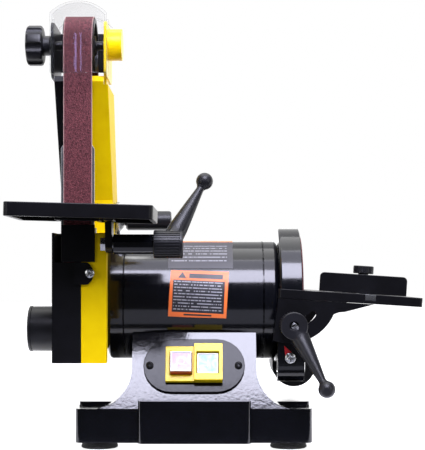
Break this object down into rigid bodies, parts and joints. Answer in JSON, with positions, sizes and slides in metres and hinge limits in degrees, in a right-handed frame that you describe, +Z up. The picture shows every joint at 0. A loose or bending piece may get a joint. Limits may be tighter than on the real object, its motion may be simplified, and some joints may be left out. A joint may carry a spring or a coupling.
{
  "type": "belt and disc sander",
  "caption": "Bench-top sander with a narrow vertical sanding belt and tilting table on one side, a sanding disc with tilting table and miter gauge on the other, motor between them.",
  "frame": {"origin": "middle of the footprint of the whole machine, on the bench under its rubber feet", "axes": "+X along the motor shaft from the belt towards the disc, +Y from the switch side to the back, +Z up"},
  "size_m": [0.3663, 0.272, 0.3996],
  "materials": {
    "black_paint": "gloss black enamel, light orange peel",
    "satin_paint": "satin black powder coat",
    "table_paint": "cast aluminium, satin black coat",
    "yellow_paint": "gloss yellow enamel",
    "black_plastic": "moulded black nylon",
    "yellow_plastic": "moulded yellow ABS",
    "stop_plastic": "clear-capped red button",
    "start_plastic": "clear-capped green button",
    "clear_plastic": "clear polycarbonate",
    "steel": "machined steel",
    "zinc": "bright zinc plate",
    "bare_aluminium": "turned aluminium",
    "copper": "enamelled copper windings",
    "rubber": "moulded rubber",
    "grit": "cloth-backed aluminium oxide abrasive",
    "pointer_red": "red paint"
  },
  "bodies": {
    "root": {"base_casting": "black_paint", "base_plate": "steel", "rubber_foot_front_left": "rubber", "rubber_foot_rear_left": "rubber", "rubber_foot_front_right": "rubber", "rubber_foot_rear_right": "rubber", "cable_gland": "rubber", "run_capacitor": "bare_aluminium", "switch_plate": "black_paint", "switch_housing": "yellow_plastic", "motor_shell": "black_paint", "motor_bell_left": "black_paint", "motor_bell_right": "black_paint", "bearing_left": "steel", "bearing_right": "steel", "stator_core": "steel", "stator_windings": "copper", "belt_frame": "yellow_paint", "belt_side_cover": "satin_paint", "cover_screw": "zinc", "belt_dust_port": "black_plastic", "sanding_belt": "grit", "platen": "steel", "lower_idler_axle": "steel", "belt_shield": "satin_paint", "belt_hood": "clear_plastic", "lever_pivot_bolt": "zinc", "belt_table_bracket": "black_paint", "belt_table_spindle": "zinc", "disc_guard": "black_paint", "disc_dust_port": "black_plastic", "disc_table_bracket_front": "black_paint", "disc_table_bracket_rear": "black_paint", "angle_pointer": "pointer_red", "table_clamp_stud": "zinc"},
    "rotor": {"rotor_shaft": "steel", "rotor_core": "bare_aluminium", "cooling_fan": "black_plastic", "drive_wheel": "bare_aluminium", "disc_plate": "bare_aluminium", "abrasive_disc": "grit"},
    "lower_idler": {"lower_idler_wheel": "bare_aluminium"},
    "carriage": {"tension_carriage": "yellow_paint", "carriage_cheek": "satin_paint"},
    "idler_yoke": {"top_idler_axle": "steel"},
    "top_idler": {"top_idler_wheel": "bare_aluminium"},
    "tracking_knob": {"tracking_knob": "black_plastic"},
    "tension_lever": {"tension_lever": "zinc", "tension_grip": "black_plastic"},
    "belt_table": {"belt_table": "table_paint", "belt_table_hanger": "table_paint"},
    "belt_table_lever": {"belt_table_lever": "black_plastic"},
    "disc_table": {"disc_table": "table_paint", "disc_table_trunnions": "table_paint"},
    "miter_bar": {"miter_bar": "steel"},
    "miter_head": {"miter_head": "satin_paint"},
    "miter_knob": {"miter_knob": "black_plastic"},
    "disc_table_lever": {"disc_table_lever": "black_plastic"},
    "stop_button": {"stop_button": "stop_plastic"},
    "start_button": {"start_button": "start_plastic"}
  },
  "joints": [
    {"name": "rotor_spin", "type": "hinge", "parent": "root", "child": "rotor", "pos_m": [-0.02575, 0.049, 0.1356], "axis": [1, 0, 0], "continuous": true},
    {"name": "lower_idler_spin", "type": "hinge", "parent": "root", "child": "lower_idler", "pos_m": [-0.12795, -0.046, 0.10657], "axis": [1, 0, 0], "continuous": true},
    {"name": "carriage_slide", "type": "slide", "parent": "root", "child": "carriage", "axis": [0, -0.3619, 0.9322], "range_m": [-0.0072, 0], "stiffness_N_per_m": 200, "springref_m": 0.01},
    {"name": "idler_tracking", "type": "hinge", "parent": "carriage", "child": "idler_yoke", "pos_m": [-0.12795, -0.041, 0.3674], "axis": [0, -0.3619, 0.9322], "range_deg": [-1.01, 1.01]},
    {"name": "top_idler_spin", "type": "hinge", "parent": "idler_yoke", "child": "top_idler", "pos_m": [-0.12795, -0.041, 0.3674], "axis": [1, 0, 0], "continuous": true},
    {"name": "tracking_knob_turn", "type": "hinge", "parent": "carriage", "child": "tracking_knob", "pos_m": [-0.16675, -0.041, 0.3674], "axis": [1, 0, 0], "range_deg": [-180, 180]},
    {"name": "tension_lever_turn", "type": "hinge", "parent": "root", "child": "tension_lever", "pos_m": [-0.09875, 0.023, 0.221], "axis": [1, 0, 0], "range_deg": [0, 50]},
    {"name": "belt_table_tilt", "type": "hinge", "parent": "root", "child": "belt_table", "pos_m": [-0.09885, -0.081, 0.1868], "axis": [1, 0, 0], "range_deg": [0, 45]},
    {"name": "belt_table_lever_turn", "type": "hinge", "parent": "root", "child": "belt_table_lever", "pos_m": [-0.03455, -0.081, 0.1868], "axis": [1, 0, 0], "range_deg": [-60, 60]},
    {"name": "disc_table_tilt", "type": "hinge", "parent": "root", "child": "disc_table", "pos_m": [0.06125, 0.049, 0.142], "axis": [0, 1, 0], "range_deg": [-3.7, 41.3]},
    {"name": "miter_bar_slide", "type": "slide", "parent": "disc_table", "child": "miter_bar", "axis": [0, 1, 0], "range_m": [-0.02, 0.1]},
    {"name": "miter_head_turn", "type": "hinge", "parent": "miter_bar", "child": "miter_head", "pos_m": [0.1355, 0.016, 0.14191], "axis": [0.0645, 0, 0.9979], "range_deg": [-50, 50]},
    {"name": "miter_knob_turn", "type": "hinge", "parent": "miter_bar", "child": "miter_knob", "pos_m": [0.13679, 0.037, 0.16187], "axis": [0.0645, 0, 0.9979], "range_deg": [-180, 180]},
    {"name": "disc_table_lever_turn", "type": "hinge", "parent": "root", "child": "disc_table_lever", "pos_m": [0.06415, -0.0599, 0.1144], "axis": [0, 1, 0], "range_deg": [-75, 75]},
    {"name": "stop_button_press", "type": "slide", "parent": "root", "child": "stop_button", "axis": [0, 0.9181, -0.3963], "range_m": [0, 0.004], "stiffness_N_per_m": 300},
    {"name": "start_button_press", "type": "slide", "parent": "root", "child": "start_button", "axis": [0, 0.9181, -0.3963], "range_m": [0, 0.003], "stiffness_N_per_m": 300}
  ],
  "couplings": [
    {"joint": "lower_idler_spin", "follows": "rotor_spin", "ratio": 1.3448},
    {"joint": "top_idler_spin", "follows": "rotor_spin", "ratio": 1.0791},
    {"joint": "carriage_slide", "follows": "tension_lever_turn", "m_per_rad": -0.008},
    {"joint": "idler_tracking", "follows": "tracking_knob_turn", "ratio": 0.0055}
  ]
}
